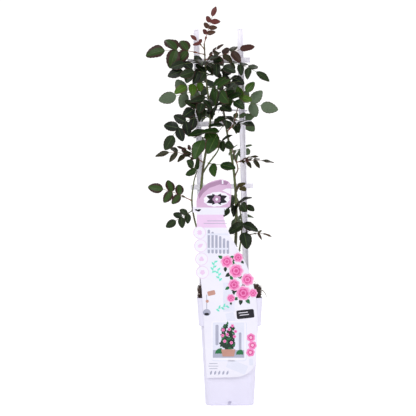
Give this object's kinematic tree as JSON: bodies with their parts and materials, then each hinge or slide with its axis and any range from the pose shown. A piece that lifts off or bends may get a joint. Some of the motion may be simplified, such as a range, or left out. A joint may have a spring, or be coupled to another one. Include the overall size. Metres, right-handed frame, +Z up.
{
  "type": "potted climbing rose on a ladder trellis",
  "caption": "Young climbing rose with leafy canes tied to a white ladder trellis, in a tall square tapered pot with a curved label card on its front.",
  "frame": {"origin": "middle of the pot's flat underside, on the surface that the pot stands on", "axes": "+Z up, -Y towards the front, where the label card is, +X to the right seen from the front"},
  "size_m": [0.2661, 0.2103, 0.7905],
  "materials": {
    "pot_plastic": "satin white with a cool cast",
    "trellis_plastic": "satin white with a cool cast",
    "soil": "rough dark bark and fibre",
    "bark": "rough grey-brown bark",
    "stem_green": "smooth green cane",
    "stem_brown": "brown young wood",
    "stem_red": "red young shoot",
    "leaf_dark": "glossy dark green",
    "leaf_mid": "glossy green",
    "leaf_bright": "fresh yellow-green",
    "leaf_bronze": "bronze young leaf",
    "leaf_red": "red young leaf",
    "leaf_pale": "matt grey-green underside",
    "leaf_brown": "brown curled leaf",
    "string": "pale twisted string",
    "card": "printed card, pink"
  },
  "bodies": {
    "root": {"pot": "pot_plastic", "soil": "soil", "root_crown": "bark", "cane_left": "stem_green", "cane_right": "stem_green", "cane_fork": "stem_green", "cane_brown": "stem_brown", "cane_young": "stem_red", "cane_low_left": "stem_green", "cane_low_right": "stem_green", "foliage_tip": "leaf_red", "foliage_tip_small": "leaf_red", "foliage_top_left": "leaf_dark", "foliage_top_right": "leaf_bronze", "foliage_upper_right": "leaf_dark", "foliage_upper_left": "leaf_dark", "foliage_crown_front": "leaf_dark", "foliage_upper_front": "leaf_dark", "foliage_upper_centre": "leaf_mid", "foliage_upper_bright": "leaf_bright", "foliage_pale_left": "leaf_pale", "foliage_young": "leaf_bright", "foliage_pale_right": "leaf_pale", "foliage_right_front": "leaf_mid", "foliage_middle_left": "leaf_dark", "foliage_middle_front": "leaf_dark", "foliage_crown_middle": "leaf_dark", "foliage_centre_right": "leaf_dark", "foliage_inner_right": "leaf_dark", "foliage_inner_left": "leaf_dark", "foliage_centre_fork": "leaf_dark", "foliage_centre_big": "leaf_mid", "foliage_centre_droop": "leaf_mid", "foliage_left_twig": "leaf_bronze", "foliage_right_narrow": "leaf_bronze", "foliage_lower_centre": "leaf_mid", "foliage_lower_fold": "leaf_mid", "foliage_curled": "leaf_brown", "foliage_low_left": "leaf_dark", "foliage_low_left_small": "leaf_dark", "foliage_low_right_tip": "leaf_dark", "foliage_low_centre": "leaf_dark", "foliage_low_right": "leaf_dark", "foliage_right_twig": "leaf_brown", "foliage_back_top": "leaf_dark", "foliage_back_upper": "leaf_dark", "foliage_back_left": "leaf_dark", "foliage_back_right": "leaf_mid", "foliage_back_middle": "leaf_dark", "foliage_back_centre": "leaf_mid", "foliage_back_low_left": "leaf_dark", "foliage_back_low": "leaf_dark", "foliage_back_low_right": "leaf_mid", "trellis_upright_left": "trellis_plastic", "trellis_upright_right": "trellis_plastic", "trellis_rung_1": "trellis_plastic", "trellis_rung_2": "trellis_plastic", "trellis_rung_3": "trellis_plastic", "plant_tie": "string", "label_card": "card"}
  },
  "joints": []
}
